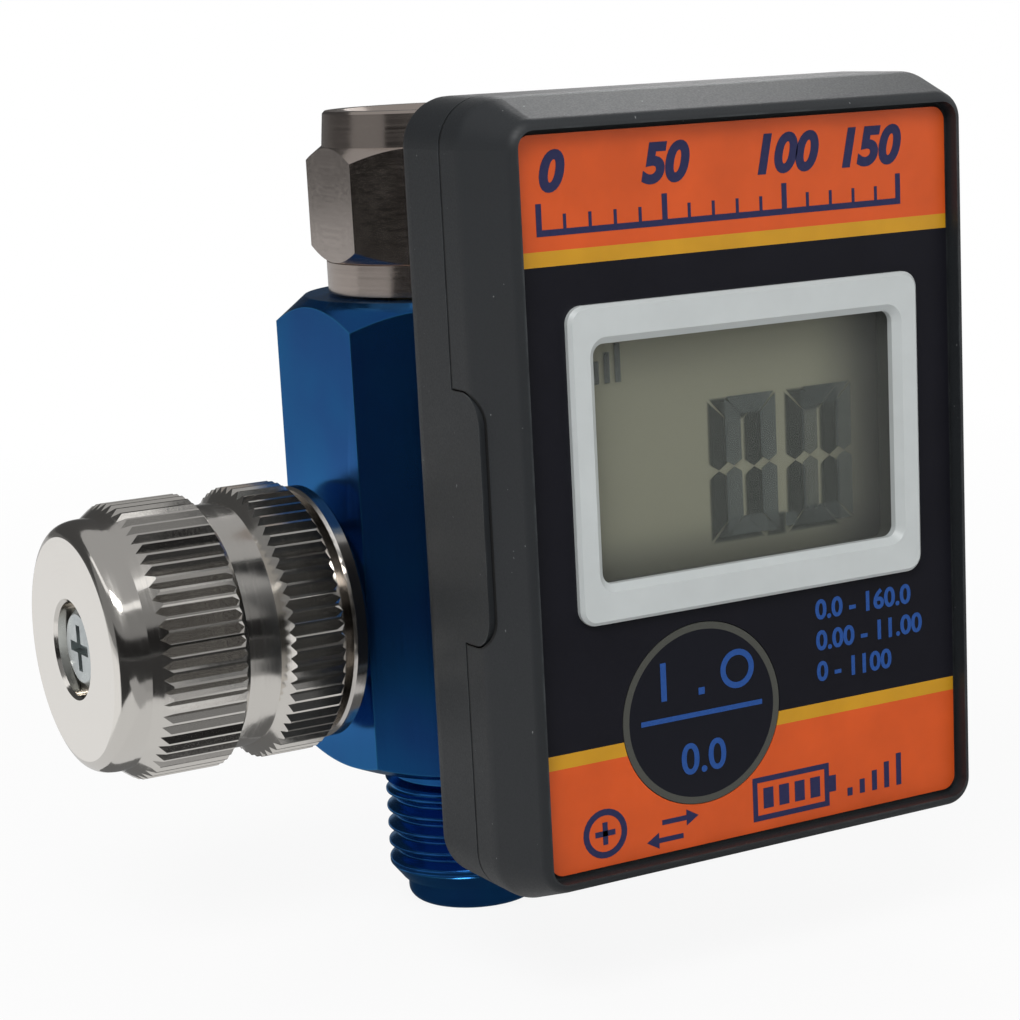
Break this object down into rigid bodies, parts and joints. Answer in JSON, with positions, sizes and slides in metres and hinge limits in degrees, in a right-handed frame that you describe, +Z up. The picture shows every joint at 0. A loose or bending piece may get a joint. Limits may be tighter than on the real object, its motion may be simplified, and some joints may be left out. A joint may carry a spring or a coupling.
{
  "type": "digital air pressure regulator",
  "caption": "Inline air pressure regulator for a spray gun, with a hexagonal body, knurled adjusting knob, swivel nut and digital gauge.",
  "frame": {"origin": "on the body's axis, where the hose thread's full diameter begins under the body", "axes": "+Z up the body's axis to the swivel nut, gauge face towards -Y, knob towards -X"},
  "size_m": [0.0587, 0.0437, 0.0628],
  "materials": {
    "blue_anodised": "glossy blue dyed anodising",
    "nickel": "bright nickel plating",
    "chrome_plate": "polished chrome plating",
    "brass": "plain turned brass",
    "steel": "plain machined steel",
    "zinc_steel": "pale zinc plating",
    "spring_steel": "drawn spring wire",
    "black_rubber": "matte black nitrile rubber",
    "acetal": "natural white moulded acetal",
    "nylon": "natural nylon",
    "grey_case": "dark grey moulded plastic with a fine grain",
    "printed_label": "printed film in orange, yellow and black",
    "white_plastic": "white moulded plastic",
    "clear_plastic": "clear moulded window",
    "lcd": "grey green liquid crystal cell",
    "reflector": "pearl reflector film",
    "zebra": "layered silicone contact strip",
    "board_laminate": "green lacquered circuit laminate",
    "black_plastic": "black moulded plastic",
    "black_button": "black plastic with blue print",
    "copper_alloy": "gold plated contact"
  },
  "bodies": {
    "regulator": {"regulator_body": "blue_anodised", "swivel_stem": "brass", "stem_o_ring": "black_rubber", "swivel_washer": "nylon", "bonnet": "nickel", "bonnet_gasket": "black_rubber", "bonnet_cap": "brass", "thrust_washer": "nylon", "main_spring": "spring_steel", "valve_seat": "brass", "seat_o_ring": "black_rubber", "seat_spacer": "brass", "poppet_spring": "spring_steel", "gauge_stem": "brass", "gauge_seal": "nylon", "stem_nut": "brass", "pressure_sensor": "steel", "rear_shell": "grey_case", "front_shell": "grey_case", "case_screws": "zinc_steel", "face_label": "printed_label", "display_bezel": "white_plastic", "display_window": "clear_plastic", "lcd_glass": "lcd", "lcd_reflector": "reflector", "lcd_frame": "white_plastic", "contact_strip_upper": "zebra", "contact_strip_lower": "zebra", "circuit_board": "board_laminate", "tactile_switch": "black_plastic", "battery_contact": "copper_alloy", "coin_battery": "steel", "battery_clip": "copper_alloy"},
    "knob": {"knob": "chrome_plate", "adjusting_spindle": "steel", "spindle_clip": "spring_steel", "knob_screw": "zinc_steel"},
    "adjusting_nut": {"adjusting_nut": "brass"},
    "swivel_nut": {"swivel_nut": "nickel"},
    "piston": {"piston": "brass", "piston_o_ring": "black_rubber"},
    "poppet": {"poppet": "brass", "valve_pad": "black_rubber"},
    "zero_button": {"zero_button": "black_button", "switch_plunger": "black_plastic"}
  },
  "joints": [
    {"name": "knob_turn", "type": "hinge", "parent": "regulator", "child": "knob", "pos_m": [-0.0244, 0, 0.0148], "axis": [1, 0, 0], "range_deg": [0, 1260]},
    {"name": "adjuster_slide", "type": "slide", "parent": "regulator", "child": "adjusting_nut", "axis": [1, 0, 0], "range_m": [0, 0.0028], "deforming": ["main_spring"]},
    {"name": "piston_slide", "type": "slide", "parent": "regulator", "child": "piston", "axis": [1, 0, 0], "range_m": [0, 0.0008], "stiffness_N_per_m": 500, "deforming": ["main_spring"]},
    {"name": "poppet_slide", "type": "slide", "parent": "regulator", "child": "poppet", "axis": [1, 0, 0], "range_m": [0, 0.0008], "deforming": ["poppet_spring"]},
    {"name": "swivel_turn", "type": "hinge", "parent": "regulator", "child": "swivel_nut", "pos_m": [0, 0, 0.042], "axis": [0, 0, 1], "continuous": true},
    {"name": "button_press", "type": "slide", "parent": "regulator", "child": "zero_button", "axis": [0, 1, 0], "range_m": [0, 0.0002], "stiffness_N_per_m": 1500}
  ],
  "couplings": [
    {"joint": "adjuster_slide", "follows": "knob_turn", "m_per_rad": 0.00012732},
    {"joint": "poppet_slide", "follows": "piston_slide", "ratio": 1}
  ]
}
